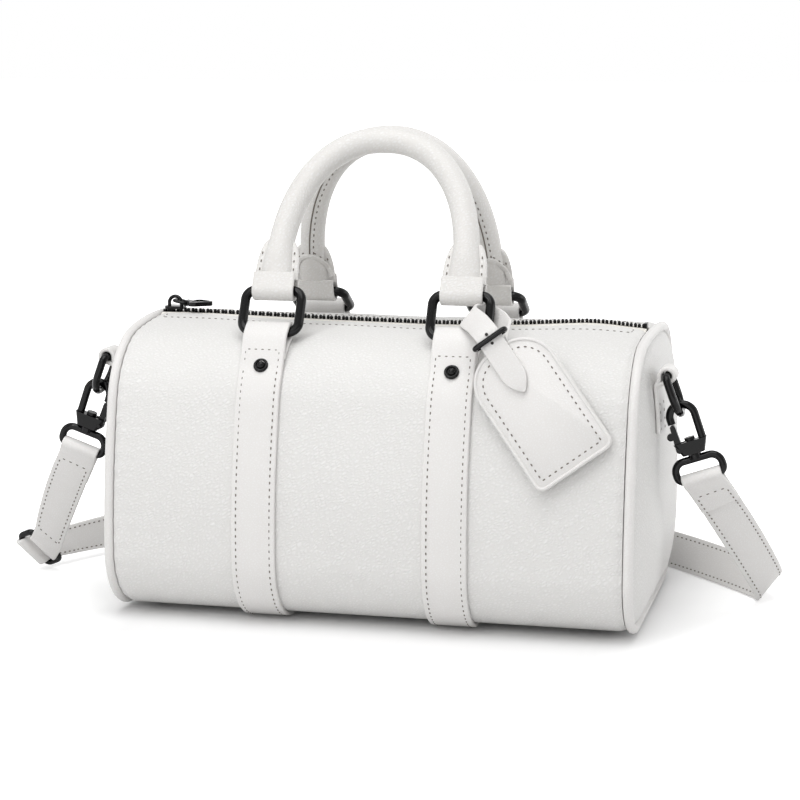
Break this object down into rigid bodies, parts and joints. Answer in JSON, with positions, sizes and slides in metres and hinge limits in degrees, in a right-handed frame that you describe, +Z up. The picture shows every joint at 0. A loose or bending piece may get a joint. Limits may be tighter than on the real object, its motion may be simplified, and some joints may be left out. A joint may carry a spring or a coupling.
{
  "type": "bag",
  "caption": "Structured barrel handbag in off-white pebbled leather with black rings, rolled handles, zip, hanging tag and clip-on shoulder strap",
  "frame": {"origin": "middle of the underside of the two body straps, on the surface that the bag stands on, below the middle of the bag's own bounding box", "axes": "+X along the barrel to the end at the right of the picture, -Y out of the front face that carries the tag, +Z up through the zip"},
  "size_m": [0.4415, 0.2749, 0.2617],
  "materials": {
    "white_leather": "pebbled grain, semi-matt",
    "lining_cloth": "plain weave",
    "zip_tape": "woven tape",
    "base_board": "plain sheet",
    "handle_cord": "twisted filler cord",
    "black_metal": "glossy black plating"
  },
  "bodies": {
    "bag": {"body_wrap": "white_leather", "left_end_panel": "white_leather", "right_end_panel": "white_leather", "left_piping": "white_leather", "right_piping": "white_leather", "lining": "lining_cloth", "base_board": "base_board", "front_zip_tape": "zip_tape", "back_zip_tape": "zip_tape", "front_zip_teeth": "black_metal", "back_zip_teeth": "black_metal", "zip_stops": "black_metal", "left_body_strap": "white_leather", "right_body_strap": "white_leather", "strap_rivets": "black_metal", "left_ring_tab": "white_leather", "right_ring_tab": "white_leather"},
    "front_rings": {"front_left_ring": "black_metal", "front_right_ring": "black_metal"},
    "front_handle": {"front_handle_roll": "white_leather", "front_handle_core": "handle_cord", "front_handle_left_tab": "white_leather", "front_handle_right_tab": "white_leather"},
    "back_rings": {"back_left_ring": "black_metal", "back_right_ring": "black_metal"},
    "back_handle": {"back_handle_roll": "white_leather", "back_handle_core": "handle_cord", "back_handle_left_tab": "white_leather", "back_handle_right_tab": "white_leather"},
    "zip_slider": {"zip_slider": "black_metal"},
    "zip_link": {"zip_link": "black_metal"},
    "zip_pull": {"zip_pull": "black_metal"},
    "tag": {"tag_back_layer": "white_leather", "tag_front_layer": "white_leather", "tag_strap": "white_leather", "tag_buckle": "black_metal"},
    "shoulder_strap": {"strap_long": "white_leather", "strap_short": "white_leather", "strap_adjuster": "black_metal", "left_swivel_eye": "black_metal", "right_swivel_eye": "black_metal"},
    "left_hook": {"left_hook_body": "black_metal", "left_gate_pin": "black_metal"},
    "left_gate": {"left_hook_gate": "black_metal"},
    "left_d_ring": {"left_d_ring": "black_metal"},
    "right_hook": {"right_hook_body": "black_metal", "right_gate_pin": "black_metal"},
    "right_gate": {"right_hook_gate": "black_metal"},
    "right_d_ring": {"right_d_ring": "black_metal"}
  },
  "joints": [
    {"name": "front_rings_swing", "type": "hinge", "parent": "bag", "child": "front_rings", "pos_m": [0, -0.0568, 0.15474], "axis": [-1, 0, 0], "range_deg": [-90, 0]},
    {"name": "front_handle_fold", "type": "hinge", "parent": "front_rings", "child": "front_handle", "pos_m": [0, -0.04608, 0.17577], "axis": [-1, 0, 0], "range_deg": [-80, 0]},
    {"name": "back_rings_swing", "type": "hinge", "parent": "bag", "child": "back_rings", "pos_m": [0, 0.0568, 0.15474], "axis": [1, 0, 0], "range_deg": [-120, 0]},
    {"name": "back_handle_fold", "type": "hinge", "parent": "back_rings", "child": "back_handle", "pos_m": [0, 0.03636, 0.16654], "axis": [1, 0, 0], "range_deg": [-43, 0]},
    {"name": "zip_slide", "type": "slide", "parent": "bag", "child": "zip_slider", "axis": [1, 0, 0], "range_m": [0, 0.25], "deforming": ["front_zip_teeth", "back_zip_teeth"]},
    {"name": "zip_link_flip", "type": "hinge", "parent": "zip_slider", "child": "zip_link", "pos_m": [-0.1306, 0, 0.16335], "axis": [0, 1, 0], "range_deg": [-120, 0]},
    {"name": "zip_pull_flip", "type": "hinge", "parent": "zip_link", "child": "zip_pull", "pos_m": [-0.12375, 0, 0.1619], "axis": [0, 1, 0], "range_deg": [-80, 0]},
    {"name": "tag_hang", "type": "hinge", "parent": "front_rings", "child": "tag", "pos_m": [0.0606, -0.05144, 0.16526], "axis": [-1, 0, 0], "range_deg": [0, 90], "deforming": ["tag_strap"]},
    {"name": "strap_lift", "type": "hinge", "parent": "bag", "child": "shoulder_strap", "pos_m": [0, -0.043, 0.12157], "axis": [1, 0, 0], "range_deg": [0, 75]},
    {"name": "left_d_ring_swing", "type": "hinge", "parent": "bag", "child": "left_d_ring", "pos_m": [-0.1535, -0.043, 0.137], "axis": [0, -1, 0], "range_deg": [-2, 0]},
    {"name": "left_hook_swivel", "type": "hinge", "parent": "shoulder_strap", "child": "left_hook", "pos_m": [-0.16135, -0.043, 0.11533], "axis": [-0.3256, 0, -0.9455], "range_deg": [-20, 20]},
    {"name": "left_gate_open", "type": "hinge", "parent": "left_hook", "child": "left_gate", "pos_m": [-0.16048, -0.043, 0.09758], "axis": [0, -1, 0], "range_deg": [0, 18], "stiffness_Nm_per_rad": 0.02},
    {"name": "right_d_ring_swing", "type": "hinge", "parent": "bag", "child": "right_d_ring", "pos_m": [0.1535, -0.043, 0.137], "axis": [0, 1, 0], "range_deg": [-2, 0]},
    {"name": "right_hook_swivel", "type": "hinge", "parent": "shoulder_strap", "child": "right_hook", "pos_m": [0.16135, -0.043, 0.11533], "axis": [-0.3256, 0, 0.9455], "range_deg": [-20, 20]},
    {"name": "right_gate_open", "type": "hinge", "parent": "right_hook", "child": "right_gate", "pos_m": [0.16048, -0.043, 0.09758], "axis": [0, 1, 0], "range_deg": [0, 18], "stiffness_Nm_per_rad": 0.02}
  ],
  "couplings": [
    {"joint": "tag_hang", "follows": "front_rings_swing", "ratio": -1}
  ]
}
